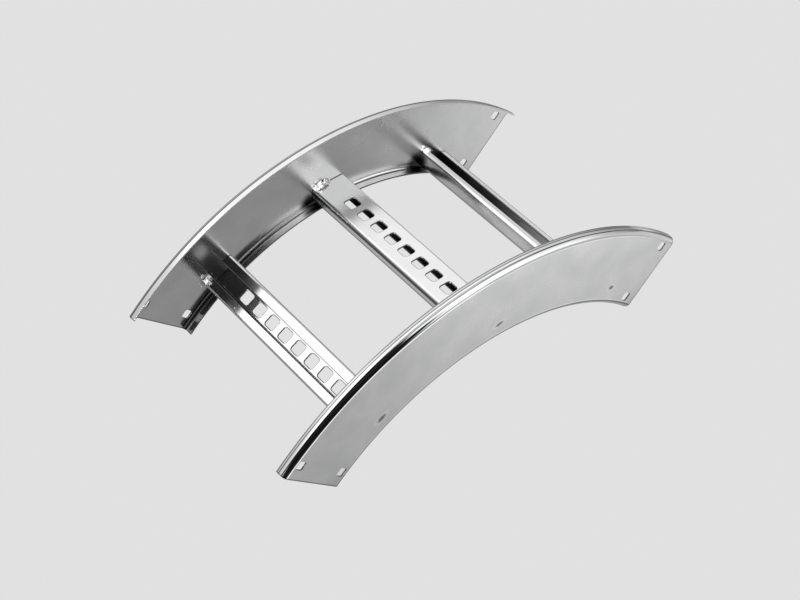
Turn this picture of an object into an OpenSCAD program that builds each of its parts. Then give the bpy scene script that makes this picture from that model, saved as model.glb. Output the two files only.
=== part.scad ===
// Outside riser bend of a cable ladder.
// Two folded side rails follow the bend, and perforated channel rungs are welded between them.
// The bend stands like an arch on the four lower corners of its rails.

/* [Bend] */
// Radius of the bend, measured to the inner edge of the rails
bend_radius = 300; // [200:10:600]
// Angle that the ladder turns through
bend_angle = 90; // [60:5:90]
// Width over the outsides of both rails
ladder_width = 300; // [200:10:600]

/* [Side rails] */
// Height of a rail, from its inner edge to its outer edge
rail_height = 100; // [80:5:150]
// Thickness of the rail sheet
rail_wall = 2; // [1.5:0.1:3]
// Width of each rail flange, over the web
rail_flange = 13; // [12:1:25]
// Inside radius of the fold between web and flange
rail_fold = 3.5; // [1:0.5:5]

/* [Joint holes] */
// Side of the square bolt holes at the ends of the rails
hole_side = 11; // [8:0.5:14]
// Corner radius of a bolt hole
hole_corner = 2.5; // [1:0.5:3.5]
// Distance between the two holes of one end
hole_spacing = 72; // [40:1:72]
// Distance from the end of the rail to the line of the holes
hole_inset = 19; // [12:1:30]

/* [Rungs] */
// Number of rungs
rung_count = 3; // [2:1:3]
// Angle between neighbouring rungs
rung_step = 30; // [20:1:30]
// Width of a rung along the bend
rung_width = 46; // [40:1:55]
// Depth of a rung, from its web to its lips
rung_depth = 18; // [14:1:25]
// Thickness of the rung sheet
rung_wall = 2; // [1.5:0.1:2.5]
// Width of each lip, over the side wall
rung_lip = 12.5; // [8:0.5:14]
// Inside radius of the folds of a rung
rung_fold = 1.5; // [0.5:0.5:3]
// Height of the rungs above the inner edge of the rails
rung_lift = 7; // [4:1:25]

/* [Perforations] */
// Side of a square perforation
slot_side = 15; // [8:1:18]
// Corner radius of a perforation
slot_corner = 3; // [1:0.5:4]
// Distance between the centres of neighbouring perforations
slot_pitch = 25; // [22:1:40]
// Plain length that stays at each end of a rung
slot_margin = 36; // [20:1:60]

/* [Welds] */
// Length of the bead on a rung's web
web_bead = 20; // [10:1:30]
// Leg of a weld bead
weld_leg = 6; // [3:0.5:8]

/* [Hidden] */
$fn = 96;

steel = "silver";
weld_steel = "gainsboro";
overshoot = 1;  // how far a cutter runs past the sheet

rail_outer_radius = bend_radius + rail_height;
rail_outer_fold = rail_fold + rail_wall;
rung_outer_fold = rung_fold + rung_wall;
rung_length = ladder_width - 2 * rail_wall;
rung_inner_face = bend_radius + rung_lift;
rung_outer_face = rung_inner_face + rung_depth;
lip_bead = rung_lip - rung_outer_fold / 2;  // a bead on a lip ends at the mouth
slot_count = floor((rung_length - 2 * slot_margin - slot_side) / slot_pitch) + 1;
floor_drop = bend_radius * cos(bend_angle / 2);  // height of the bend's centre above the floor, negated

// Angle of one rung from the middle of the bend, negative to the left
function rung_angle(index) = (index - (rung_count - 1) / 2) * rung_step;

// Rectangle about the origin with true arcs at its corners
module rounded_rectangle(width, height, radius) {
    square([width, height - 2 * radius], center = true);
    square([width - 2 * radius, height], center = true);
    for (x = [-1, 1], y = [-1, 1])
        translate([x * (width / 2 - radius), y * (height / 2 - radius)])
            circle(r = radius);
}

// Wall of a folded sheet: a rounded tube, from which the sections below are cut
module folded_tube(width, height, wall, outer_fold) {
    difference() {
        rounded_rectangle(width, height, outer_fold);
        rounded_rectangle(width - 2 * wall, height - 2 * wall, outer_fold - wall);
    }
}

// Rail section: the web lies on y = 0, the flanges run towards +y, and x is the radius
module rail_section() {
    intersection() {
        translate([bend_radius + rail_height / 2, rail_flange])
            folded_tube(rail_height, 2 * rail_flange, rail_wall, rail_outer_fold);
        translate([bend_radius - overshoot, -overshoot])
            square([rail_height + 2 * overshoot, rail_flange + overshoot]);
    }
}

// Rung section: the web is the lower edge, the lips leave a mouth along the upper edge
module rung_section() {
    difference() {
        folded_tube(rung_width, rung_depth, rung_wall, rung_outer_fold);
        translate([-(rung_width / 2 - rung_lip), 0])
            square([rung_width - 2 * rung_lip, rung_depth]);
    }
}

// Moves children from the bend's centre of curvature to the part's frame
module on_the_floor() {
    translate([0, 0, -floor_drop]) children();
}

// Puts children on the radius at an angle from the middle of the bend
module at_bend_angle(angle) {
    rotate([0, angle, 0]) children();
}

// One row of square bolt holes, parallel to the end of the rail that side points to
module end_holes(side) {
    at_bend_angle(side * bend_angle / 2)
        for (offset = [-0.5, 0.5] * hole_spacing)
            translate([-side * hole_inset, overshoot, bend_radius + rail_height / 2 + offset])
                rotate([90, 0, 0])
                    linear_extrude(rail_wall + 2 * overshoot)
                        rounded_rectangle(hole_side, hole_side, hole_corner);
}

// Rail whose web is at the front: its outside is on y = -ladder_width / 2
module front_rail() {
    on_the_floor()
        translate([0, -ladder_width / 2, 0])
            difference() {
                rotate([90, 0, 180])
                    rotate([0, 0, 90 - bend_angle / 2])
                        rotate_extrude(angle = bend_angle, $fn = 180)
                            rail_section();
                translate([0, rail_wall, 0]) {
                    end_holes(-1);
                    end_holes(1);
                }
            }
}

module rail_front() {
    color(steel) front_rail();
}

module rail_back() {
    color(steel) mirror([0, 1, 0]) front_rail();
}

// Square perforations along the middle of a rung's web
module perforations() {
    first = -(slot_count - 1) / 2 * slot_pitch;
    for (index = [0 : slot_count - 1])
        translate([0, first + index * slot_pitch, -rung_depth / 2 - overshoot])
            linear_extrude(rung_wall + 2 * overshoot)
                rounded_rectangle(slot_side, slot_side, slot_corner);
}

// Rung about its own centre, with its mouth facing up
module rung_blank() {
    difference() {
        rotate([90, 0, 0])
            linear_extrude(rung_length, center = true)
                rung_section();
        perforations();
    }
}

// Rung in its place: its mouth faces out of the bend, or into it when turned over
module rung(index, turned_over) {
    on_the_floor()
        at_bend_angle(rung_angle(index))
            translate([0, 0, rung_inner_face + rung_depth / 2])
                rotate([0, turned_over ? 180 : 0, 0])
                    rung_blank();
}

// Round fillet bead that runs from x = 0 along -x, in the corner between the faces z = 0 and y = 0
module bead(length) {
    rotate([90, 0, -90])
        linear_extrude(length)
            intersection() {
                circle(r = weld_leg);
                translate([-weld_leg, 0])
                    square(weld_leg);
            }
}

// Beads where the outer face of one rung meets the rails: at its right corner in front, at its left corner behind
module rung_beads(index, length) {
    on_the_floor()
        at_bend_angle(rung_angle(index))
            for (half_turn = [0, 180])
                rotate([0, 0, half_turn])
                    translate([rung_width / 2 - rung_outer_fold / 2, -rung_length / 2, rung_outer_face])
                        bead(length);
}

module rung_left() {
    color(steel) rung(0, false);
}

module rung_middle() {
    color(steel) rung(1, true);
}

module rung_right() {
    color(steel) rung(2, false);
}

module welds_left() {
    color(weld_steel) rung_beads(0, lip_bead);
}

module welds_middle() {
    color(weld_steel) rung_beads(1, web_bead);
}

module welds_right() {
    color(weld_steel) rung_beads(2, lip_bead);
}

rail_front();
rail_back();
rung_left();
rung_middle();
rung_right();
welds_left();
welds_middle();
welds_right();
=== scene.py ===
# %% [markdown]
# # A cable ladder bend, dressed for its portrait
#
# The object is an outside riser bend of a cable ladder: two folded side rails that follow a quarter
# circle, three perforated channel rungs between them, and short weld beads that hold the rungs. The
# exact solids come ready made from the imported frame. This lesson folds the same sheets again as Blender
# meshes with fine round folds and dark cut edges, lays the weld beads as rippled metal, and sets up a
# studio whose reflections make bare steel look like bare steel.

# %% Load the frame
import math

import bpy
from mathutils import Matrix, Vector


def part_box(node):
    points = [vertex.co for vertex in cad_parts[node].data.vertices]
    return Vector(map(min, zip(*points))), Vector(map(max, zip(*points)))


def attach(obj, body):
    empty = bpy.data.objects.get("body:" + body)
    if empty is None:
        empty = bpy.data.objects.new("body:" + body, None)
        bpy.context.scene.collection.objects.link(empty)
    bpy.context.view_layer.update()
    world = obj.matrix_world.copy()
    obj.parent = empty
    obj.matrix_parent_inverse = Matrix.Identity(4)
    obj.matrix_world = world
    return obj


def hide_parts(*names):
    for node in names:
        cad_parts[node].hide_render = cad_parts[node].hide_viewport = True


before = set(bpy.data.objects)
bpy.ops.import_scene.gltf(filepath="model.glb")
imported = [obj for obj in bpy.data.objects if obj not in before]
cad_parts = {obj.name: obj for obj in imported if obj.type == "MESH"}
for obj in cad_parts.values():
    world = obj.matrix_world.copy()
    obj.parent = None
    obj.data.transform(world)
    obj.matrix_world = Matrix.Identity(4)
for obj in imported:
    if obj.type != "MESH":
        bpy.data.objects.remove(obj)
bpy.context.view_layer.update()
print("nodes:", sorted(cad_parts))

# %% [markdown]
# ## Where everything is
#
# The bend is a rule, so a few lengths fix every place on it. The rails' box tells the outer radius,
# because the ends of a quarter bend lie at sin(45 degrees) of it, and the centre of the bend lies
# straight below the middle of the arch. A point is then named by its angle from the top and its
# distance from that centre.

# %% Measure the bend
MM = 0.001
HALF_BEND = math.radians(45)
RUNG_STEP = math.radians(30)
SHEET = 2 * MM

rail_low, rail_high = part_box("rail_front")
rung_low, rung_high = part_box("rung_middle")
outer_radius = rail_high[0] / math.sin(HALF_BEND)
centre_height = rail_high[2] - outer_radius
inner_radius = -centre_height / math.cos(HALF_BEND)
half_width = -rail_low[1]
inside_of_web = half_width - SHEET
flange_width = rail_high[1] - rail_low[1]
rung_length = rung_high[1] - rung_low[1]
rung_outer_radius = rung_high[2] - centre_height
rung_inner_radius = rung_low[2] - centre_height
rung_width = rung_high[0] - rung_low[0]
half_rung = rung_width / 2
rung_angles = {"left": -RUNG_STEP, "middle": 0.0, "right": RUNG_STEP}
print("radii of the rails:", round(inner_radius, 4), round(outer_radius, 4))
print("radii of the rungs:", round(rung_inner_radius, 4), round(rung_outer_radius, 4))

# %% Name places on the bend
ACROSS = Vector((0.0, 1.0, 0.0))


def outwards(angle):
    """Direction that points out of the bend at an angle from its top."""
    return Vector((math.sin(angle), 0.0, math.cos(angle)))


def forwards(angle):
    """Direction along the bend, towards its right end."""
    return Vector((math.cos(angle), 0.0, -math.sin(angle)))


def on_bend(angle, radius, across, along=0.0):
    """Point at an angle and a radius, moved across the ladder and straight along the bend."""
    return radius * outwards(angle) + along * forwards(angle) + Vector((0.0, across, centre_height))


def placed(origin, x_axis, y_axis, z_axis):
    """Matrix that takes a shape made at the origin to its place."""
    return Matrix.Translation(origin) @ Matrix((x_axis, y_axis, z_axis)).transposed().to_4x4()


for rung, angle in rung_angles.items():
    top = on_bend(angle, rung_outer_radius, 0.0)
    print("top of the", rung, "rung:", [round(value, 4) for value in top])

# %% [markdown]
# ## Node trees as Python
#
# A procedural finish is arithmetic on sockets, and so is a recipe of Geometry Nodes. Wrapping a socket
# in a small class lets an expression such as `base - 0.1 * clouds` add its own Math nodes. Any other
# node comes from one method, which takes its type, its settings and what goes into its sockets.

# %% The socket class
class Wire:
    """An output socket on which the usual operators add Math nodes."""

    def __init__(self, tree, socket):
        self.tree = tree
        self.socket = socket

    def maths(self, operation, other=0.0, third=0.0):
        values = {0: self, 1: other, 2: third}
        return self.tree.node("ShaderNodeMath", {"operation": operation}, values)

    def __add__(self, other):
        return self.maths("ADD", other)

    def __sub__(self, other):
        return self.maths("SUBTRACT", other)

    def __mul__(self, other):
        return self.maths("MULTIPLY", other)

    def __rsub__(self, other):
        return self.maths("MULTIPLY_ADD", -1.0, other)

    def __neg__(self):
        return 0 - self

    __radd__ = __add__
    __rmul__ = __mul__

    def size(self):
        return self.maths("ABSOLUTE")

    def squared(self):
        return self.maths("POWER", 2.0)

    def step(self, low, high):
        """Smooth step: 0 at low and below, 1 at high and above."""
        ranges = {"interpolation_type": "SMOOTHSTEP", "clamp": True}
        values = {"Value": self, "From Min": low, "From Max": high}
        return self.tree.node("ShaderNodeMapRange", ranges, values)

    def past(self, level, fade):
        """Rises beyond a level: 0 up to the first distance of fade past it, 1 from the second."""
        return self.step(level + fade[0], level + fade[1])

    def near(self, level, fade):
        """Rises before a level: 0 up to the second distance of fade short of it, 1 from the first."""
        return self.step(level - fade[1], level - fade[0])


def highest(values):
    """The greatest of a wire and the wires or numbers that follow it."""
    greatest, *others = values
    for other in others:
        greatest = greatest.maths("MAXIMUM", other)
    return greatest


# %% The class of node trees
MIX_INPUTS = (0, 6, 7)  # the factor and the two colours of a Mix node
MIX_RESULT = 2


class Nodes:
    """A node tree that is built by calls."""

    def __init__(self, tree):
        self.tree = tree
        self.tree.nodes.clear()

    def fill(self, socket, value):
        """Sets a socket to a value, or links a wire or a list of wires to it."""
        if isinstance(value, Wire):
            self.tree.links.new(value.socket, socket)
        elif isinstance(value, list):
            for wire in value:
                self.fill(socket, wire)
        else:
            socket.default_value = value

    def node(self, kind, settings=None, inputs=None, output=0):
        """New node of a kind, as the wire of one of its outputs."""
        new = self.tree.nodes.new(kind)
        for name, value in (settings or {}).items():
            setattr(new, name, value)
        for name, value in (inputs or {}).items():
            self.fill(new.inputs[name], value)
        return Wire(self, new.outputs[output]) if new.outputs else None

    def vector(self, x=0.0, y=0.0, z=0.0):
        return self.node("ShaderNodeCombineXYZ", {}, {"X": x, "Y": y, "Z": z})

    def parts(self, vector):
        """The X, Y and Z of a vector, as three wires."""
        return [self.node("ShaderNodeSeparateXYZ", {}, {"Vector": vector}, axis) for axis in "XYZ"]

    def vector_maths(self, operation, *vectors):
        """Vector Math node whose result is a number."""
        values = dict(enumerate(vectors))
        return self.node("ShaderNodeVectorMath", {"operation": operation}, values, "Value")

    def towards(self, vector, direction):
        """Dot product with a fixed direction."""
        return self.vector_maths("DOT_PRODUCT", vector, Vector(direction).normalized())

    def noise(self, place, per_metre, detail):
        """Noise about 0.5 with so many features to a metre."""
        values = {"Vector": place, "Scale": per_metre, "Detail": detail}
        return self.node("ShaderNodeTexNoise", {}, values)

    def mix(self, factor, first, second):
        """Colour that goes from first to second with factor."""
        values = dict(zip(MIX_INPUTS, (factor, first, second)))
        return self.node("ShaderNodeMix", {"data_type": "RGBA"}, values, MIX_RESULT)


def shader_nodes(owner):
    """The emptied node tree of a material or a world."""
    owner.use_nodes = True
    return Nodes(owner.node_tree)


def grey(level, tint=0.0):
    """A grey that tint turns a little blue."""
    return (level * (1 - tint), level, level * (1 + tint), 1.0)


print("a pale grey with a trace of blue:", [round(part, 3) for part in grey(0.6, 0.005)])

# %% [markdown]
# ## The finish of the steel
#
# Pre-galvanised sheet is bright and cool, and never quite even. Its zinc shows a soft cloudiness and a
# fine grain. Two noises make them: they move the colour by a few per cent, and the clouds move the
# roughness too, because it is the blur of a reflection that gives bare metal away. The sheet is smooth,
# so it has no bump. Every mark on it is a grey of its own, laid over the zinc where a mask says so.
# Places are measured in object coordinates, in metres, so the pattern keeps its size on every piece.

# %% Zinc, and layers over it
CLOUDS_PER_METRE = 26.0
GRAIN_PER_METRE = 700.0
CONTRAST = (0.3, 0.7)  # the part of a noise that is spread over the whole range of greys


class Here:
    """Where a point of the steel is, in wires that the masks share."""

    def __init__(self, nodes):
        self.nodes = nodes
        self.place = nodes.node("ShaderNodeTexCoord", output="Object")
        self.x, self.y, self.z = nodes.parts(self.place)
        self.height = self.z - centre_height
        self.radius = nodes.vector_maths("LENGTH", nodes.vector(self.x, 0.0, self.height))
        self.off_middle = self.y.size()


def new_finish(name):
    """A new material and its empty node tree."""
    material = bpy.data.materials.new(name)
    return material, shader_nodes(material)


def zinc(here, seed, grain_share, dark, pale):
    """Cloudy zinc between two greys: its colour, and the clouds for its roughness."""
    shift = {"Vector": here.place, "Location": (seed, 2 * seed, 0)}
    shifted = here.nodes.node("ShaderNodeMapping", {}, shift)
    clouds = here.nodes.noise(shifted, CLOUDS_PER_METRE, 4.0)
    grain = here.nodes.noise(shifted, GRAIN_PER_METRE, 2.0)
    shade = (1 - grain_share) * clouds + grain_share * grain
    return here.nodes.mix(shade.step(*CONTRAST), dark, pale), clouds


def with_layers(nodes, colour, layers):
    """Lays greys over a colour, one over another. Each layer is a mask and the level of its grey."""
    for mask, level in layers:
        colour = nodes.mix(mask, colour, grey(level))
    return colour


def finish_steel(nodes, colour, blur, metal=1.0):
    values = {"Base Color": colour, "Metallic": metal, "Roughness": blur}
    steel = nodes.node("ShaderNodeBsdfPrincipled", {}, values)
    nodes.node("ShaderNodeOutputMaterial", {}, {"Surface": steel})


print("zinc clouds are about", round(1000 / CLOUDS_PER_METRE), "mm across")

# %% [markdown]
# ## The marks of the welding, and painted shade in the corners
#
# Welding marks the sheet. The sheet is darker round each bead, and painted shade lies black in the
# corners under the left side of the middle and right rungs. Where a rung is welded behind a web, its
# outside shows a dark smear with a pale halo. The darkening is worked out from the distance to each bead
# and to each corner. A smear is an ellipse whose edge is made ragged by a noise, and its halo is a ring
# round the same ellipse.

# %% Darkening round the beads, and painted shade in the corners
BEAD_REACH = {"left": 10.75 * MM, "middle": 20 * MM, "right": 10.75 * MM}
BEAD_END = half_rung - 1.75 * MM
CORNER_SHADE_SHIFT = 2 * MM
DARKENING_CORE = 0.35  # share of its reach over which the darkening is at its darkest
DARKENING_END = (0.9 * MM, 1.3 * MM)  # how close to the outside of a web the darkening ends


def bead_middle(rung, side):
    """Middle of a rung's bead: side is -1 at the front rail and 1 at the back rail."""
    along = -side * (BEAD_END - BEAD_REACH[rung] / 2)
    return on_bend(rung_angles[rung], rung_outer_radius, side * inside_of_web, along)


def painted_shade_corner(rung, side):
    """Corner under a rung's left side, where painted shade lies."""
    return on_bend(rung_angles[rung], rung_inner_radius, side * inside_of_web, -half_rung - CORNER_SHADE_SHIFT)


def darkening(here, middles, reach):
    """1 at each middle, fading to 0 at reach; none on the outside of the webs."""
    gaps = [here.nodes.vector_maths("DISTANCE", here.place, middle) for middle in middles]
    near = highest([1 - gap.step(DARKENING_CORE * reach, reach) for gap in gaps])
    return near * (1 - here.off_middle.near(half_width, DARKENING_END))


bead_middles = [bead_middle(rung, side) for rung in rung_angles for side in (-1, 1)]
painted_shade_corners = [painted_shade_corner(rung, side) for rung in ("middle", "right") for side in (-1, 1)]
print("soot round", len(bead_middles), "beads and in", len(painted_shade_corners), "corners")

# %% Smears on the outside of the webs
SMEARS = [  # angle from the top, radius, half length and half breadth of each
    (math.radians(-28.3), 323 * MM, 7.5 * MM, 3.8 * MM),
    (math.radians(1.9), 322 * MM, 6.5 * MM, 2.7 * MM),
    (math.radians(34.2), 324 * MM, 4.4 * MM, 3.6 * MM),
]
SMEAR_SLANT = math.radians(-8)
RAGGEDNESS = 1.2
SMEAR_FADE = (0.25, 1.0)
HALO_START = (0.7, 1.3)
HALO_FADE = (1.3, 3.6)
SMEAR_DEPTH = (0.2 * MM, 0.4 * MM)
WOBBLES_PER_METRE = 320.0


def reach_from(here, angle, radius, length, breadth):
    """0 at the middle of a smear, 1 on the ellipse round it, and more beyond."""
    spot = on_bend(angle, radius, 0.0)
    right, up = here.x - spot.x, here.z - spot.z
    cosine, sine = math.cos(angle + SMEAR_SLANT), math.sin(angle + SMEAR_SLANT)
    along = right * cosine - up * sine
    off = right * sine + up * cosine
    return (along * (1 / length)).squared() + (off * (1 / breadth)).squared()


def smears_and_halos(here):
    """Dark smears on the outside of the webs, and their pale halos, as two masks."""
    wobble = here.nodes.noise(here.place, WOBBLES_PER_METRE, 2.0)
    reaches = [reach_from(here, *smear) + RAGGEDNESS * (wobble - 0.5) for smear in SMEARS]
    dark = highest([1 - reach.step(*SMEAR_FADE) for reach in reaches])
    halo = highest([(1 - reach.step(*HALO_FADE)) * reach.step(*HALO_START) for reach in reaches])
    outside = here.off_middle.near(half_width, SMEAR_DEPTH)
    return dark * outside, halo * outside


def weld_marks_and_painted_shade(here):
    """Layers of the smears and halos that the welding left on a rail, of the darkening round the beads,
    and of painted shade in the corners.
    """
    dark, halo = smears_and_halos(here)
    beads = darkening(here, bead_middles, 13 * MM)
    # painted shade, almost black, in the corners under the middle and right rungs
    corners = darkening(here, painted_shade_corners, 20 * MM)
    return [(0.35 * halo, 0.85), (0.85 * dark, 0.16), (0.5 * beads, 0.12), (0.95 * corners, 0.02)]


print("smears on the webs:", len(SMEARS))

# %% [markdown]
# ## The finish of a rail
#
# The rolls that fold a rail burnish its outer fold. Thin lines of painted reflection stand in for what
# the
# folds mirror: a darker painted brim along the cut edge of the front rail, a painted dark line where the
# brim ends and a broader one where the flange turns into the fold, and a painted dark band where the
# front web starts below the outer fold. On the web a painted dark line and a painted highlight follow the
# lower fold, the inner flange of the back rail has a painted dark crease near the web, and painted shade
# lies low in the left end of the back rail. The sheared ends have a dark border. Such a line is drawn by
# smooth steps in one distance, such as the distance from the cut edge, so it stays sharp however close
# the camera comes.

# %% Painted lines on the outer flange, by their distance from its cut edge
OUTER_FACE = (0.5 * MM, 1 * MM)
RIM = (0.9 * MM, 1.4 * MM)
BRIM = (3.6 * MM, 3.9 * MM)
BRIM_LINE = 3.8 * MM
BRIM_LINE_FADE = (0.35 * MM, 0.75 * MM)
FOLD_LINE = 6.7 * MM
FOLD_LINE_FADE = (0.4 * MM, 0.9 * MM)
FRONT_LINE_SHIFT = 2.6 * MM
FRONT_LINE_WIDENING = 0.8 * MM


def on_front(here):
    """1 on the front rail, 0 on the back rail."""
    return 1 - here.y.step(-20 * MM, 20 * MM)


def painted_flange_lines(here, base):
    """Layers of the painted reflections on the outer flange: a darker brim and dark lines."""
    outer_face = here.radius.near(outer_radius, OUTER_FACE)
    from_edge = here.off_middle - (half_width - flange_width)
    front = on_front(here)
    brim = front * (1 - from_edge.step(*BRIM))
    rim = front * (1 - from_edge.step(*RIM))
    brim_line = front * (1 - (from_edge - BRIM_LINE).size().step(*BRIM_LINE_FADE))
    line_place = FOLD_LINE + FRONT_LINE_SHIFT * front
    off_line = (from_edge - line_place).size() - FRONT_LINE_WIDENING * front
    fold_line = 1 - off_line.step(*FOLD_LINE_FADE)
    lines = highest([fold_line, 0.8 * brim_line, 0.75 * rim])
    # the brim and the lines are painted reflections
    return [(brim * outer_face, base * 0.72), (lines * outer_face, 0.04)]


print("the line beside the outer fold is", round(FOLD_LINE / MM, 1), "mm from the cut edge")

# %% Painted lines beside the folds of the web
LINE_FADE = 0.2 * MM
LINE_DEPTH = (1.6 * MM, 1.8 * MM)
CREASE_REACH = (3.5 * MM, 4.0 * MM)


def band(value, low, high):
    """1 between low and high, fading to 0 over a few tenths of a millimetre."""
    rise = value.step(low - LINE_FADE, low + LINE_FADE)
    return rise * (1 - value.step(high - LINE_FADE, high + LINE_FADE))


def painted_web_lines(here):
    """Layers of painted reflections along the upper and lower fold of a web, and of the painted dark
    crease at the back.
    """
    web_start = band(here.radius, outer_radius - 6.6 * MM, outer_radius - 4.4 * MM)
    web_start = 0.9 * web_start * on_front(here) * here.x.step(-20 * MM, 10 * MM)
    lower_line = band(here.radius, inner_radius + 4.6 * MM, inner_radius + 7.0 * MM)
    light_line = band(here.radius, inner_radius + 7.4 * MM, inner_radius + 8.6 * MM)
    skin = here.off_middle.near(half_width, LINE_DEPTH)
    crease = band(half_width - here.off_middle, 3.8 * MM, 5.6 * MM) * here.y.step(0.0, 0.05)
    crease = crease * (1 - here.radius.past(inner_radius, CREASE_REACH))
    # painted reflections: a dark band where the front web starts, a highlight and a dark line along the
    # lower fold, and a dark crease at the back
    return [(web_start, 0.38), (0.5 * light_line * skin, 0.92), (0.75 * lower_line * skin, 0.12),
            (0.9 * crease, 0.03)]


print("lines fade over", round(2 * LINE_FADE / MM, 1), "mm")

# %% The rail's steel
RAIL_GREY = 0.62
RAIL_BLUR = 0.27
CLOUD_BLUR = 0.05
FRESH_GAIN = 0.09  # how much less the left end, which is fresher, blurs
BURNISHED_GAIN = 0.16
BURNISHED = (6 * MM, 9 * MM)
END_BORDER = (1.2 * MM, 1.9 * MM)


def end_border_and_painted_shade(here):
    """Layers of the dark border of the ends, and of painted shade low in the left end of the back rail.
    """
    from_end = here.height * math.sin(HALF_BEND) - here.x.size() * math.cos(HALF_BEND)
    # painted shade, almost black, low in the left end of the back rail
    painted_end_shade = (-here.x).step(160 * MM, 170 * MM) * here.y.near(half_width, (14 * MM, 16 * MM))
    painted_end_shade = painted_end_shade * (1 - here.radius.past(inner_radius, (8 * MM, 10 * MM)))
    return [(0.7 * (1 - from_end.step(*END_BORDER)), 0.12), (0.75 * painted_end_shade, 0.03)]


def rail_finish(base):
    material, nodes = new_finish("rail_steel")
    here = Here(nodes)
    colour, clouds = zinc(here, 0.0, 0.12, grey(base * 0.95, 0.006), grey(base * 1.05))
    layers = weld_marks_and_painted_shade(here) + painted_flange_lines(here, base) + painted_web_lines(here) + end_border_and_painted_shade(here)
    fresher = FRESH_GAIN * (-here.x).step(0.06, 0.12)
    burnished = here.radius.near(outer_radius, BURNISHED)
    blur = RAIL_BLUR + CLOUD_BLUR * (clouds - 0.5) - fresher
    blur = blur - BURNISHED_GAIN * burnished * (1 - 0.5 * fresher)
    finish_steel(nodes, with_layers(nodes, colour, layers), blur)
    print("rail steel has", len(layers), "layers of marks over its zinc")
    return material


rail_steel = rail_finish(RAIL_GREY)

# %% [markdown]
# ## The finish of a rung
#
# The rungs are of brighter sheet. The middle and right ones are dull inside, and painted shade darkens
# them there, apart from a stretch of the right one towards its front end. The right one has matt lips,
# painted pale as a highlight, and a painted dark line along the outer edge of one of them. The middle one
# is turned over: its side is painted with a highlight, a bright flat strip, between painted dark lines
# along both folds. The three share one material, and its masks tell them apart by where they stand along
# the bend.

# %% Which part of a rung a point is on
INNER_SKIN = (1.2 * MM, 1.6 * MM)
LIP_SKIN = (0.8 * MM, 1.2 * MM)
SIDE_SKIN = (0.3 * MM, 0.6 * MM)
UPPER_LINE_START = (7.0 * MM, 8.0 * MM)
UPPER_LINE_END = (2.4 * MM, 3.2 * MM)
LOWER_LINE_END = (3.4 * MM, 4.2 * MM)
STRIP_START = (4.2 * MM, 5.0 * MM)
STRIP_END = (7.5 * MM, 8.5 * MM)


def turned_to_rung(here, angle):
    """Distance of a point along the bend from the middle of a rung, and its radius there."""
    along = here.x * math.cos(angle) - here.height * math.sin(angle)
    return along, here.x * math.sin(angle) + here.height * math.cos(angle)


def inside_rung(here, rung):
    """1 on the inner faces of a rung, 0 outside it."""
    along, radius = turned_to_rung(here, rung_angles[rung])
    between = radius.past(rung_inner_radius, INNER_SKIN)
    below = 1 - radius.near(rung_outer_radius, INNER_SKIN)
    return between * below * (1 - along.size().near(half_rung, INNER_SKIN))


def painted_side_highlight(here):
    """The painted highlight: a bright flat strip between the two folds of the middle rung's side."""
    above = here.height.past(rung_inner_radius, STRIP_START)
    below = 1 - here.height.near(rung_outer_radius, STRIP_END)
    return above * below * here.x.size().near(half_rung, SIDE_SKIN)


def painted_side_lines(here):
    """The painted dark lines, standing in for reflections, along both folds of the middle rung's side."""
    upper = here.height.near(rung_outer_radius, UPPER_LINE_START)
    upper = upper * (1 - here.height.near(rung_outer_radius, UPPER_LINE_END))
    lower = 1 - here.height.past(rung_inner_radius, LOWER_LINE_END)
    return highest([upper, lower]) * here.x.size().near(half_rung, INNER_SKIN)


degrees = [round(math.degrees(angle)) for angle in rung_angles.values()]
print("masks for the rungs at", degrees, "degrees")

# %% The rungs' steel
RUNG_GREY = 0.64
RUNG_BLUR, TURNED_BLUR, LIP_BLUR, DULL_BLUR = 0.13, 0.09, 0.3, 0.5
LIP_EDGE = (3.9 * MM, 4.4 * MM)


def rung_finish(base):
    material, nodes = new_finish("rung_steel")
    here = Here(nodes)
    colour, clouds = zinc(here, 3.7, 0.3, grey(base * 0.96), grey(base * 1.04))
    # inside the middle and right rungs: duller, and darkened by painted shade
    dull_and_shaded = highest([inside_rung(here, "middle"), inside_rung(here, "right")])
    painted_shade_lifted = here.x.step(80 * MM, 100 * MM) * (-here.y).step(-70 * MM, 50 * MM)
    along, radius = turned_to_rung(here, RUNG_STEP)
    right_lip = here.x.step(100 * MM, 110 * MM) * radius.near(rung_outer_radius, LIP_SKIN)
    lip_edge = along.near(half_rung, LIP_EDGE)
    turned_over = 1 - here.x.size().step(30 * MM, 40 * MM)
    beads = darkening(here, bead_middles, 11 * MM)
    # painted shade, almost black, in the corners under the middle and right rungs
    corners = darkening(here, painted_shade_corners, 22 * MM)
    # painted shade inside the middle and right rungs, lifted near the front of the right one; a painted
    # highlight on the right rung's lips with a painted dark line; painted dark lines and a painted bright
    # strip on the middle rung's side
    layers = [(0.5 * beads, 0.14), (0.95 * corners, 0.02), (0.9 * dull_and_shaded * (1 - 0.97 * painted_shade_lifted), 0.07),
              (right_lip, 0.97), (0.85 * right_lip * lip_edge, 0.12),
              (turned_over * painted_side_lines(here), 0.1), (turned_over * painted_side_highlight(here), 0.97)]
    blur = RUNG_BLUR + CLOUD_BLUR * (clouds - 0.5) + TURNED_BLUR * turned_over + LIP_BLUR * right_lip
    finish_steel(nodes, with_layers(nodes, colour, layers), highest([blur, DULL_BLUR * dull_and_shaded]))
    print("rung steel has", len(layers), "layers of marks over its zinc")
    return material


rung_steel = rung_finish(RUNG_GREY)

# %% [markdown]
# ## Weld metal and cut edges
#
# A weld bead wears a pale, matt crust that is darker in its pits, so its shader isn't metallic. The
# sheared edges of the sheet have no zinc on them and look nearly black, streaked by the shear. Only
# along the outer flange of the back rail was the zinc drawn over the edge, and it is pale there.

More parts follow.
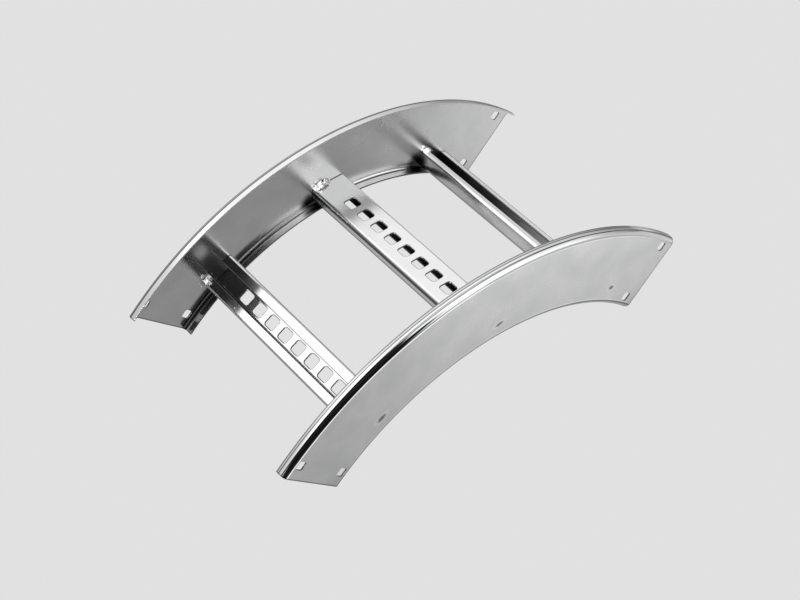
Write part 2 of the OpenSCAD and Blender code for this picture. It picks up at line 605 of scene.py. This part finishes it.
# %% The finishes of beads and cut edges
PITS = (0.3, 0.38)
PITS_PER_METRE = 420.0
WELD_BLUR = 0.5
STREAKS = (0.35, 0.65)
STREAKS_PER_METRE = 900.0
EDGE_BLUR = 0.4
COATED_EDGE = (2.5 * MM, 3 * MM)


def weld_finish():
    material, nodes = new_finish("weld_metal")
    lumps = nodes.noise(nodes.node("ShaderNodeTexCoord", output="Object"), PITS_PER_METRE, 3.0)
    colour = nodes.mix(lumps.step(*PITS), grey(0.4), grey(0.98))
    finish_steel(nodes, colour, WELD_BLUR + 0.1 * (lumps - 0.5), 0.0)
    return material


def cut_finish():
    material, nodes = new_finish("cut_edge")
    here = Here(nodes)
    streaks = nodes.noise(here.place, STREAKS_PER_METRE, 2.0)
    colour = nodes.mix(streaks.step(*STREAKS), grey(0.1), grey(0.17))
    coated = here.y.step(0.0, 0.05) * here.radius.near(outer_radius, COATED_EDGE)
    colour = with_layers(nodes, colour, [(coated, 0.62)])
    finish_steel(nodes, colour, EDGE_BLUR + 0.1 * (streaks - 0.5))
    return material


weld_metal = weld_finish()
cut_edge = cut_finish()
print("finishes:", [material.name for material in (rail_steel, rung_steel, weld_metal, cut_edge)])

# %% [markdown]
# ## Sheet metal as a recipe
#
# A folded sheet is a line with a thickness. The recipes of the rail and the rung draw the middle line
# of a section through its corners, round the corners, and sweep it. Geometry Nodes do this well,
# because every length is a named input and the shape is made again when one changes. Solidify then
# gives the sheet its two faces, and puts the cut edges in a material of their own.

# %% Bake a piece
def bake(piece):
    """The piece with its modifiers applied, as a plain mesh; the piece itself is removed."""
    graph = bpy.context.evaluated_depsgraph_get()
    shape = piece.evaluated_get(graph)
    mesh = bpy.data.meshes.new_from_object(shape, preserve_all_data_layers=True, depsgraph=graph)
    bpy.data.objects.remove(piece)
    return mesh


def put_in_scene(name, data):
    piece = bpy.data.objects.new(name, data)
    bpy.context.scene.collection.objects.link(piece)
    return piece


# %% The class of recipes
class Recipe(Nodes):
    """A Geometry Nodes tree with named sizes."""

    def __init__(self, name, sizes):
        super().__init__(bpy.data.node_groups.new(name, "GeometryNodeTree"))
        for size, value in sizes.items():
            kind = "NodeSocketInt" if isinstance(value, int) else "NodeSocketFloat"
            self.tree.interface.new_socket(size, in_out="INPUT", socket_type=kind).default_value = value
        self.tree.interface.new_socket("Geometry", in_out="OUTPUT", socket_type="NodeSocketGeometry")
        self.group_input = self.tree.nodes.new("NodeGroupInput")
        print("recipe", name, "has the inputs", ", ".join(sizes))

    def given(self, name):
        """The wire of a named size."""
        return Wire(self, self.group_input.outputs[name])

    def one_of(self, values):
        """Field that takes its values in turn, by index."""
        new = self.tree.nodes.new("GeometryNodeIndexSwitch")
        new.data_type = "VECTOR"
        for _ in values[2:]:
            new.index_switch_items.new()
        self.fill(new.inputs[0], self.node("GeometryNodeInputIndex"))
        for socket, value in zip(new.inputs[1:], values):
            self.fill(socket, value)
        return Wire(self, new.outputs[0])

    def section(self, corners, rounding, facets):
        """Open line through the corners, with its corners rounded."""
        line = self.node("GeometryNodeMeshLine", {}, {"Count": len(corners)})
        values = {"Geometry": line, "Position": self.one_of(corners)}
        shaped = self.node("GeometryNodeSetPosition", {}, values)
        curve = self.node("GeometryNodeMeshToCurve", {}, {"Mesh": shaped})
        return self.rounded(curve, rounding, facets)

    def rounded(self, curve, rounding, facets):
        values = {"Curve": curve, "Count": facets, "Radius": rounding}
        return self.node("GeometryNodeFilletCurve", {"mode": "POLY"}, values)

    def line(self, start, end, rings):
        """Straight curve with so many points."""
        line = self.node("GeometryNodeCurvePrimitiveLine", {}, {"Start": start, "End": end})
        return self.node("GeometryNodeResampleCurve", {}, {"Curve": line, "Count": rings})

    def sweep(self, section, start, end, rings, closed=False):
        values = {"Curve": self.line(start, end, rings), "Profile Curve": section, "Fill Caps": closed}
        return self.node("GeometryNodeCurveToMesh", {}, values)

    def finish(self, geometry, material, smooth=True):
        realised = self.node("GeometryNodeRealizeInstances", {}, {"Geometry": geometry})
        values = {"Geometry": realised, "Shade Smooth": smooth}
        shaded = self.node("GeometryNodeSetShadeSmooth", {}, values)
        dressed = self.node("GeometryNodeSetMaterial", {}, {"Geometry": shaded, "Material": material})
        self.node("NodeGroupOutput", {}, {"Geometry": dressed})

    def make(self, name, sizes):
        """Plain mesh made with the given sizes; the others keep the recipe's own values."""
        piece = put_in_scene(name, bpy.data.meshes.new(name))
        modifier = piece.modifiers.new("recipe", "NODES")
        modifier.node_group = self.tree
        for socket in self.tree.interface.items_tree:
            if socket.in_out == "INPUT" and socket.name in sizes:
                modifier[socket.identifier] = sizes[socket.name]
        return bake(piece)


# %% [markdown]
# ## The rail
#
# A rail is a strip with a web and two flanges, bent to a quarter circle. Sweeping the section along an
# arc would tilt its two ends a little, because the ends of a polyline point along its chords. So the
# section is swept along a straight line, where the place along it stands for the angle, and every point
# is then moved to its true place by sine and cosine. The ends come out exact.

# %% The recipe of a rail
RAIL_SIZES = {"Inner Radius": inner_radius, "Outer Radius": outer_radius, "Half Width": half_width,
              "Flange": flange_width, "Sheet": SHEET, "Fold": 6.5 * MM, "Half Angle": HALF_BEND,
              "Centre Height": centre_height, "Facets": 9, "Rings": 91}


def bend(recipe, strip):
    """Bends a strip that runs along Y from -1 to 1, and whose X is its radius and Z its place across."""
    radius, along, across = recipe.parts(recipe.node("GeometryNodeInputPosition"))
    angle = along * recipe.given("Half Angle")
    height = radius * angle.maths("COSINE") + recipe.given("Centre Height")
    bent = recipe.vector(radius * angle.maths("SINE"), across, height)
    return recipe.node("GeometryNodeSetPosition", {}, {"Geometry": strip, "Position": bent})


def rail_recipe():
    recipe = Recipe("bent_rail", RAIL_SIZES)
    given = recipe.given
    half_sheet = 0.5 * given("Sheet")
    low, high = given("Inner Radius") + half_sheet, given("Outer Radius") - half_sheet
    web = given("Half Width") - half_sheet
    edge = given("Half Width") - given("Flange")
    points = ((high, edge), (high, web), (low, web), (low, edge))
    corners = [recipe.vector(radius, across) for radius, across in points]
    section = recipe.section(corners, given("Fold"), given("Facets"))
    strip = recipe.sweep(section, (0.0, -1.0, 0.0), (0.0, 1.0, 0.0), given("Rings"))
    recipe.finish(bend(recipe, strip), rail_steel)
    return recipe


rail_shape = rail_recipe()

# %% [markdown]
# ## The rung and the punch
#
# A rung is a channel with two lips, straight, so its sweep needs only two rings. Holes are what repeats
# here: one punch is a short prism with rounded corners, and a row of them cuts the nine perforations of
# a rung or the two bolt holes at the end of a rail. The punches carry the material of the cut edges, so
# the walls of the holes get it too.

# %% The recipe of a rung
RUNG_SIZES = {"Width": rung_width, "Depth": rung_outer_radius - rung_inner_radius, "Lip": 12.5 * MM,
              "Length": rung_length, "Sheet": SHEET, "Fold": 2.5 * MM, "Facets": 6}


def rung_recipe():
    recipe = Recipe("channel_rung", RUNG_SIZES)
    given = recipe.given
    half_sheet = 0.5 * given("Sheet")
    side = 0.5 * given("Width") - half_sheet
    top = 0.5 * given("Depth") - half_sheet
    mouth = 0.5 * given("Width") - given("Lip")
    points = ((-mouth, -top), (-side, -top), (-side, top), (side, top), (side, -top), (mouth, -top))
    section = recipe.section([recipe.vector(x, y) for x, y in points], given("Fold"), given("Facets"))
    half_length = 0.5 * given("Length")
    channel = recipe.sweep(section, recipe.vector(0.0, -half_length), recipe.vector(0.0, half_length), 2)
    recipe.finish(channel, rung_steel)
    return recipe


rung_shape = rung_recipe()

# %% The recipe of a row of punches
PUNCH_DEPTH = 8 * MM
PERFORATIONS = {"Side": 15 * MM, "Corner": 3 * MM, "Depth": PUNCH_DEPTH, "Count": 9, "Pitch": 25 * MM}
BOLT_HOLES = {"Side": 11 * MM, "Corner": 2.5 * MM, "Depth": PUNCH_DEPTH, "Count": 2, "Pitch": 72 * MM}
CORNER_FACETS = 6


def punch_recipe():
    recipe = Recipe("row_of_punches", PERFORATIONS)
    given = recipe.given
    square = recipe.node("GeometryNodeCurvePrimitiveQuadrilateral", {},
                         {"Width": given("Side"), "Height": given("Side")})
    outline = recipe.rounded(square, given("Corner"), CORNER_FACETS)
    reach = 0.5 * given("Depth")
    low, high = recipe.vector(0.0, 0.0, -reach), recipe.vector(0.0, 0.0, reach)
    punch = recipe.sweep(outline, low, high, 2, True)
    first = -0.5 * (given("Count") - 1) * given("Pitch")
    row = recipe.node("GeometryNodeMeshLine", {},
                      {"Count": given("Count"), "Start Location": recipe.vector(0.0, first),
                       "Offset": recipe.vector(0.0, given("Pitch"))})
    punches = recipe.node("GeometryNodeInstanceOnPoints", {}, {"Points": row, "Instance": punch})
    recipe.finish(punches, cut_edge, False)
    return recipe


punch_shape = punch_recipe()

# %% [markdown]
# ## From a surface to a sheet
#
# Three modifiers finish each sheet. Solidify gives the thickness, half to each side of the middle line.
# Boolean takes the punches out. Bevel rounds every cut edge by a fraction of a millimetre, because no
# real edge is perfectly sharp, and gives the rounding the dark colour of bare cut steel. Weighted
# normals keep the wide faces flat while the small folds stay round.

# %% Make a sheet
EDGE_ROUNDING = 0.9 * MM
SHARPEST_FOLD = math.radians(50)
EDGE_SLOT = 1  # the place of the cut edges' material, after the sheet's own


def cut_out(piece, punch):
    hole = piece.modifiers.new("holes", "BOOLEAN")
    hole.operation = "DIFFERENCE"
    hole.solver = "EXACT"
    hole.material_mode = "TRANSFER"
    hole.object = punch


def round_edges(piece):
    rounding = piece.modifiers.new("edges", "BEVEL")
    rounding.width = EDGE_ROUNDING
    rounding.segments = 2
    rounding.limit_method = "ANGLE"
    rounding.angle_limit = SHARPEST_FOLD
    rounding.material = EDGE_SLOT
    piece.modifiers.new("normals", "WEIGHTED_NORMAL")


def thick_sheet(surface, punches):
    """Mesh of a sheet with the punches taken out of it; the punches are removed."""
    surface.materials.append(cut_edge)
    piece = put_in_scene("sheet", surface)
    solid = piece.modifiers.new("thickness", "SOLIDIFY")
    solid.thickness = SHEET
    solid.offset = 0.0
    solid.use_even_offset = True
    solid.material_offset_rim = EDGE_SLOT
    for punch in punches:
        cut_out(piece, punch)
    round_edges(piece)
    mesh = bake(piece)
    for punch in punches:
        bpy.data.objects.remove(punch)
    return mesh


def add_piece(name, mesh, node):
    """Puts a finished mesh in the scene, in the place of its CAD node."""
    mesh.name = name
    piece = put_in_scene(name, mesh)
    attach(piece, "root")
    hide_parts(node)
    print(name, "has", len(mesh.polygons), "faces")


# %% Bend the rails
HOLE_INSET = 19 * MM


def end_punches(side):
    """Punches for the two bolt holes at one end of the front rail."""
    angle = side * HALF_BEND
    middle = on_bend(angle, (inner_radius + outer_radius) / 2, -half_width, -side * HOLE_INSET)
    mesh = punch_shape.make("end_punches", BOLT_HOLES)
    mesh.transform(placed(middle, -forwards(angle), outwards(angle), ACROSS))
    return put_in_scene("end_punches", mesh)


front_rail = thick_sheet(rail_shape.make("rail", RAIL_SIZES), [end_punches(-1), end_punches(1)])
back_rail = front_rail.copy()
back_rail.transform(Matrix.Rotation(math.pi, 4, "Z"))
add_piece("front_rail_sheet", front_rail, "rail_front")
add_piece("back_rail_sheet", back_rail, "rail_back")

# %% Fold and place the rungs
def make_rung():
    """Rung about the origin, along Y, with its mouth facing up."""
    row = punch_shape.make("row", PERFORATIONS)
    row.transform(Matrix.Translation((0.0, 0.0, -RUNG_SIZES["Depth"] / 2)))
    return thick_sheet(rung_shape.make("rung", RUNG_SIZES), [put_in_scene("row", row)])


rung_mesh = make_rung()
rung_radius = (rung_inner_radius + rung_outer_radius) / 2
for name, angle in rung_angles.items():
    mesh = rung_mesh.copy()
    turn = -1 if name == "middle" else 1
    middle = on_bend(angle, rung_radius, 0.0)
    mesh.transform(placed(middle, turn * forwards(angle), ACROSS, turn * outwards(angle)))
    add_piece(name + "_rung_channel", mesh, "rung_" + name)

# %% [markdown]
# ## The weld beads
#
# Each rung is held by a short bead in a corner where its outer face meets the web. A bead laid by hand
# swells and shrinks as the torch pauses, so it is a round section swept along a line, scaled by a
# ripple and a noise, and closed at both ends by a taper. A second noise makes it lumpy, but it never
# reaches more than a millimetre into the sheets. A few droplets of spatter lie beside it. The seed
# differs from bead to bead.

# %% The body of a bead
BEAD_SIZES = {"Length": 11 * MM, "Leg": 6.5 * MM, "Ripple": 2.2 * MM, "Seed": 1, "Droplets": 6}
BEAD_RINGS = 40
BEAD_FACETS = 16
TAPER_POWER = 0.4
SWELLS_PER_METRE = 190.0
SECTION_RADIUS, SECTION_SHIFT = 0.52, 0.4  # in widths of the bead
EVEN_WIDTH, RIPPLE_WIDTH, SWELL_WIDTH = 0.78, 0.12, 1.8  # in legs


def seeded_noise(recipe, seed, per_metre):
    return recipe.node("ShaderNodeTexNoise", {"noise_dimensions": "4D"}, {"W": seed, "Scale": per_metre})


def bead_width(recipe):
    """Width of a bead along its line: it ripples and swells, and tapers at both ends."""
    given = recipe.given
    factor = recipe.node("GeometryNodeSplineParameter")
    taper = (4.0 * factor * (1 - factor)).maths("POWER", TAPER_POWER)
    turns = given("Length").maths("DIVIDE", given("Ripple")) * (2 * math.pi)
    ripple = (turns * factor + given("Seed")).maths("SINE")
    swell = seeded_noise(recipe, given("Seed"), SWELLS_PER_METRE) - 0.5
    return given("Leg") * (EVEN_WIDTH + RIPPLE_WIDTH * ripple + SWELL_WIDTH * swell) * taper


def bead_tube(recipe):
    """Closed tube, shifted out of the corner that its line runs along."""
    circle = recipe.node("GeometryNodeCurvePrimitiveCircle", {},
                         {"Resolution": BEAD_FACETS, "Radius": SECTION_RADIUS})
    shift = {"Geometry": circle, "Translation": (SECTION_SHIFT, -SECTION_SHIFT, 0.0)}
    section = recipe.node("GeometryNodeTransform", {}, shift)
    path = recipe.line((0.0, 0.0, 0.0), recipe.vector(0.0, recipe.given("Length")), BEAD_RINGS)
    values = {"Curve": path, "Profile Curve": section, "Scale": bead_width(recipe), "Fill Caps": True}
    return recipe.node("GeometryNodeCurveToMesh", {}, values)


print("a bead's noise swells every", round(1000 / SWELLS_PER_METRE, 1), "mm")

# %% Lumps and spatter
BITE = 1 * MM  # how far a bead may reach into a sheet
LUMPS_PER_METRE = 420.0
LUMP_HEIGHT = 0.95
OTHER_SEED = 9.0
DROP_RADIUS = 0.11
DROP_SCALES = (0.4, 1.2)


def lumpy_bead(recipe):
    """The tube pushed in and out by a noise, and kept from reaching deep into the sheets."""
    lumps = seeded_noise(recipe, recipe.given("Seed") + OTHER_SEED, LUMPS_PER_METRE)
    height = LUMP_HEIGHT * recipe.given("Leg") * (lumps - 0.5)
    normal = recipe.node("GeometryNodeInputNormal")
    push = recipe.node("ShaderNodeVectorMath", {"operation": "SCALE"}, {0: normal, "Scale": height})
    lumpy = recipe.node("GeometryNodeSetPosition", {}, {"Geometry": bead_tube(recipe), "Offset": push})
    x, y, z = recipe.parts(recipe.node("GeometryNodeInputPosition"))
    shallow = recipe.vector(highest([x, -BITE]), y, highest([z, -BITE]))
    return recipe.node("GeometryNodeSetPosition", {}, {"Geometry": lumpy, "Position": shallow})


def spatter(recipe):
    """Droplets of uneven size, strewn over the sheets beside a bead."""
    leg, seed = recipe.given("Leg"), recipe.given("Seed")
    low = recipe.vector(0.1 * leg, -0.6 * leg, 0.1 * leg)
    high = recipe.vector(1.1 * leg, recipe.given("Length") + leg, 0.25 * leg)
    places = recipe.node("FunctionNodeRandomValue", {"data_type": "FLOAT_VECTOR"},
                         {"Min": low, "Max": high, "Seed": seed})
    values = {"Count": recipe.given("Droplets"), "Position": places}
    points = recipe.node("GeometryNodePoints", {}, values)
    drop = recipe.node("GeometryNodeMeshIcoSphere", {}, {"Radius": DROP_RADIUS * leg, "Subdivisions": 2})
    scale = recipe.node("FunctionNodeRandomValue", {"data_type": "FLOAT"},
                        {2: DROP_SCALES[0], 3: DROP_SCALES[1], "Seed": seed}, 1)
    values = {"Points": points, "Instance": drop, "Scale": scale}
    return recipe.node("GeometryNodeInstanceOnPoints", {}, values)


def bead_recipe():
    recipe = Recipe("weld_bead", BEAD_SIZES)
    parts = {"Geometry": [lumpy_bead(recipe), spatter(recipe)]}
    recipe.finish(recipe.node("GeometryNodeJoinGeometry", {}, parts), weld_metal)
    return recipe


bead_shape = bead_recipe()

# %% Lay the beads
BEAD_LEG = {"left": 7 * MM, "middle": 8.5 * MM, "right": 7 * MM}
FIRST_SEED = 3
SEED_STEP = 5


def lay_bead(rung, side, seed):
    """Bead from its inner end to the side of the rung."""
    length = BEAD_REACH[rung]
    mesh = bead_shape.make("bead", {"Length": length, "Leg": BEAD_LEG[rung], "Seed": seed})
    angle = rung_angles[rung]
    start = on_bend(angle, rung_outer_radius, side * inside_of_web, -side * (BEAD_END - length))
    mesh.transform(placed(start, outwards(angle), -side * forwards(angle), -side * ACROSS))
    return mesh


def joined_mesh(name, meshes):
    """One mesh that holds all the given ones."""
    corners, faces = [], []
    for mesh in meshes:
        first = len(corners)
        corners += [vertex.co.copy() for vertex in mesh.vertices]
        faces += [[first + index for index in face.vertices] for face in mesh.polygons]
    result = bpy.data.meshes.new(name)
    result.from_pydata(corners, [], faces)
    result.shade_smooth()
    result.materials.append(weld_metal)
    return result


for number, name in enumerate(rung_angles):
    beads = [lay_bead(name, side, FIRST_SEED + SEED_STEP * number + side) for side in (-1, 1)]
    add_piece(name + "_weld_beads", joined_mesh("beads", beads), "welds_" + name)

# %% [markdown]
# ## The studio
#
# Bare metal shows its surroundings, so the light is a design of its own. The sky of the studio is a
# pale dome that is brightest overhead, with a window at the upper left, a glow low at the left and two
# patches at the front right. A dark screen hangs low in front, a second one higher up, and a dark slit
# runs overhead from left to right. The horizon in front is dark too, apart from its far left and its
# right. They never show themselves, because the camera sees an even pale shade instead: they are there
# for the black lines that they draw in every fold, and for the black that the deep ends of the rungs
# mirror from the far web.

# %% The bright parts of the dome
HORIZON_LIGHT = 0.4
ZENITH_GAIN = 1.35
WINDOW_LIGHT = 0.55
FRONT_LIGHT = 0.35
LOW_LIGHT = 0.7
GLOW_LIGHT, GLOW_IN_FRONT, GLOW_BEHIND = 0.35, 0.45, 0.25


def bright_dome(x, y, z):
    """Light by direction, which has length 1 and points right by x, back by y and up by z."""
    sky = HORIZON_LIGHT + ZENITH_GAIN * highest([z, 0.0])
    left_window = WINDOW_LIGHT * (-x).step(0.1, 0.4) * z.step(0.5, 0.7)
    glow = GLOW_LIGHT + GLOW_IN_FRONT * (-y).step(0.25, 0.45) - GLOW_BEHIND * y.step(0.25, 0.45)
    left_glow = (-x).step(0.4, 0.8) * (1 - z.step(0.05, 0.35)) * glow
    front_right = FRONT_LIGHT * (-y).step(0.1, 0.5) * x.step(0.0, 0.3) * (1 - z.step(0.8, 0.95))
    low_right = LOW_LIGHT * (-y).step(0.2, 0.6) * x.step(0.1, 0.4) * (1 - z.step(0.2, 0.6))
    return sky + left_window + left_glow + front_right + low_right * (1 - x.step(0.75, 0.9))


print("light at the horizon and overhead:", HORIZON_LIGHT, HORIZON_LIGHT + ZENITH_GAIN)

# %% The dark parts of the dome
SCREEN_MIDDLE = (-0.358, -0.921, 0.154)
SCREEN_EDGE = (0.682, 0.755)  # cosines of 47 and 41 degrees, between which the screen's edge fades
UPPER_SCREEN_MIDDLE = (-0.5, -0.45, 0.74)
UPPER_SCREEN_EDGE = (0.87, 0.91)
SLIT_EDGE = (0.06, 0.1)
SCREEN_DEPTH = 0.985
HORIZON_DEPTH = 0.95


def dark_dome(nodes, direction, x, y, z):
    """Shares of the light that are left by the dark horizon and by the screens."""
    gap = (-x).step(0.66, 0.76) * (1 - z.step(0.2, 0.3))
    horizon = (-y).step(0.2, 0.5) * (1 - z.step(0.02, 0.08)) * (1 - x.step(0.12, 0.22)) * (1 - gap)
    screen = nodes.towards(direction, SCREEN_MIDDLE).step(*SCREEN_EDGE)
    screen = screen * (1 - gap) * (1 - x.step(0.14, 0.24))
    upper_screen = nodes.towards(direction, UPPER_SCREEN_MIDDLE).step(*UPPER_SCREEN_EDGE)
    slit_middle = z * (0.3 * x.step(-0.6, 0.2) - 0.1)
    slit = (1 - (y - slit_middle).size().step(*SLIT_EDGE)) * z.step(0.1, 0.3)
    return 1 - HORIZON_DEPTH * horizon, 1 - SCREEN_DEPTH * highest([screen, upper_screen, slit])


print("the low screen is about", round(2 * math.degrees(math.acos(SCREEN_EDGE[0]))), "degrees across")

# %% Hang the dome
SEEN_SHADE = 0.753


def seen_as(nodes, light, shade):
    """A light as the steel sees it; the camera sees an even shade instead."""
    seen = nodes.node("ShaderNodeLightPath", {}, {}, "Is Camera Ray")
    return light * (1 - seen) + shade * seen


def build_dome():
    world = bpy.data.worlds.new("studio_dome")
    bpy.context.scene.world = world
    nodes = shader_nodes(world)
    direction = nodes.node("ShaderNodeTexCoord", output="Generated")
    x, y, z = nodes.parts(direction)
    horizon, screens = dark_dome(nodes, direction, x, y, z)
    strength = seen_as(nodes, bright_dome(x, y, z) * horizon * screens, SEEN_SHADE)
    background = nodes.node("ShaderNodeBackground", {}, {"Color": grey(1.0), "Strength": strength})
    nodes.node("ShaderNodeOutputWorld", {}, {"Surface": background})
    print("the camera sees the dome as", SEEN_SHADE)


build_dome()

# %% [markdown]
# ## The floor
#
# The camera sees an even pale floor. What the steel sees is the same floor under its own lights: calm
# grey under the ladder and close in front of it, a bright pool further out in front whose near edge is
# curved, dimmer behind, and darkness far out in front and at the far left.

# %% The lights of the floor
POOL_SHADE = 1.5
POOL_CURVE = 1.1
POOL_MIDDLE = 0.055
POOL_EDGE = (0.312, 0.35)
DARK_SIDE = (-0.43, -0.37)
FROM_DARK_SIDE = (0.778, 0.628)
DARK_SIDE_LIGHT = 0.02
FAR_EDGE = (1.3, 1.8)
FAR_DEPTH = 0.97


def floor_in_front(x, y):
    """A strip of calm grey by the front rail, and the bright pool beyond it."""
    strip = 0.55 + 0.25 * x.step(-0.25, 0.15)
    arch = (x - POOL_MIDDLE).squared()
    pool = (-y + POOL_CURVE * arch).step(*POOL_EDGE) * (1 - 0.9 * x.step(0.33, 0.5))
    return strip * (1 - pool) + POOL_SHADE * pool


def floor_under_and_behind(x, y):
    behind = y.step(half_width, half_width + 60 * MM)
    under = 0.38 + 0.45 * x.step(0.08, 0.3) * y.step(-60 * MM, 40 * MM)
    return under * (1 - behind) + (0.28 + 0.14 * x.step(0.5, 0.9)) * behind


def floor_light(nodes, place):
    """What the floor sends to the steel, by place."""
    x, y, z = nodes.parts(place)
    front = (-y).step(half_width - 10 * MM, half_width + 25 * MM)
    lit = front * floor_in_front(x, y) + floor_under_and_behind(x, y) * (1 - front)
    bright_side = (FROM_DARK_SIDE[0] * x + FROM_DARK_SIDE[1] * y).step(*DARK_SIDE)
    far = nodes.vector_maths("LENGTH", place).step(*FAR_EDGE)
    far = far * (1 - y.step(0.0, 0.4)) * (1 - x.step(0.3, 0.7)) * (1 - (-x).step(0.9, 1.3))
    return lit * (DARK_SIDE_LIGHT + (1 - DARK_SIDE_LIGHT) * bright_side) * (1 - FAR_DEPTH * far)


print("the bright pool starts", round(POOL_EDGE[0] - half_width, 2), "m in front of the front rail")

# %% Lay the floor
FLOOR_RADIUS = 12.0
FLOOR_SIDES = 64
FLOOR_DROP = 0.5 * MM


def floor_finish():
    material, nodes = new_finish("pale_floor")
    place = nodes.node("ShaderNodeTexCoord", output="Object")
    strength = seen_as(nodes, floor_light(nodes, place), SEEN_SHADE)
    glow = nodes.node("ShaderNodeEmission", {}, {"Color": grey(1.0), "Strength": strength})
    nodes.node("ShaderNodeOutputMaterial", {}, {"Surface": glow})
    return material


def build_floor():
    mesh = bpy.data.meshes.new("floor")
    turns = [2 * math.pi * number / FLOOR_SIDES for number in range(FLOOR_SIDES)]
    rim = [(FLOOR_RADIUS * math.cos(turn), FLOOR_RADIUS * math.sin(turn), -FLOOR_DROP) for turn in turns]
    mesh.from_pydata(rim, [], [list(range(FLOOR_SIDES))])
    mesh.materials.append(floor_finish())
    put_in_scene("floor", mesh)
    print("the floor reaches", FLOOR_RADIUS, "m out")


build_floor()

# %% [markdown]
# ## A low lamp for the welds
#
# Weld metal is matt, so it takes its brightness from lamps rather than from reflections. A small lamp
# low on the left lights the beads white, and adds little to the folds, which mirror other directions.

# %% The lamp
LAMP_DIRECTION = Vector((-0.95, -0.08, 0.3))
LAMP_STRENGTH = 6.0
LAMP_SIZE = math.radians(6)


def build_lamp():
    data = bpy.data.lights.new("weld_lamp", "SUN")
    data.energy = LAMP_STRENGTH
    data.angle = LAMP_SIZE
    lamp = put_in_scene("weld_lamp", data)
    lamp.rotation_euler = LAMP_DIRECTION.to_track_quat("Z", "Y").to_euler()
    height = math.asin(LAMP_DIRECTION.normalized().z)
    print("the lamp stands", round(math.degrees(height)), "degrees high")


build_lamp()

# %% [markdown]
# ## The camera
#
# The portrait looks down on the arch from its left front, along an axis that passes close to the middle
# of the bend. A longish lens from two metres away keeps the perspective calm.

# %% Place the camera
CAMERA_AZIMUTH = math.radians(-38.0)
CAMERA_ELEVATION = math.radians(46.46)
CAMERA_ROLL = math.radians(-0.53)
CAMERA_PLACE = Vector((-0.9052, -1.1463, 1.5688))
LENS = 81.97
SENSOR_WIDTH = 36.0


def build_camera():
    sine, cosine = math.sin(CAMERA_AZIMUTH), math.cos(CAMERA_AZIMUTH)
    level = math.cos(CAMERA_ELEVATION)
    back = Vector((sine * level, -cosine * level, math.sin(CAMERA_ELEVATION)))
    right = Vector((cosine, sine, 0.0))
    up = back.cross(right)
    turned_right = math.cos(CAMERA_ROLL) * right + math.sin(CAMERA_ROLL) * up
    turned_up = math.cos(CAMERA_ROLL) * up - math.sin(CAMERA_ROLL) * right
    data = bpy.data.cameras.new("portrait_camera")
    data.lens = LENS
    data.sensor_width = SENSOR_WIDTH
    camera = put_in_scene("portrait_camera", data)
    camera.matrix_world = placed(CAMERA_PLACE, turned_right, turned_up, back)
    bpy.context.scene.camera = camera
    print("the camera is", round(CAMERA_PLACE.length, 2), "m from the bend")


build_camera()
bpy.context.scene.view_settings.view_transform = "Standard"
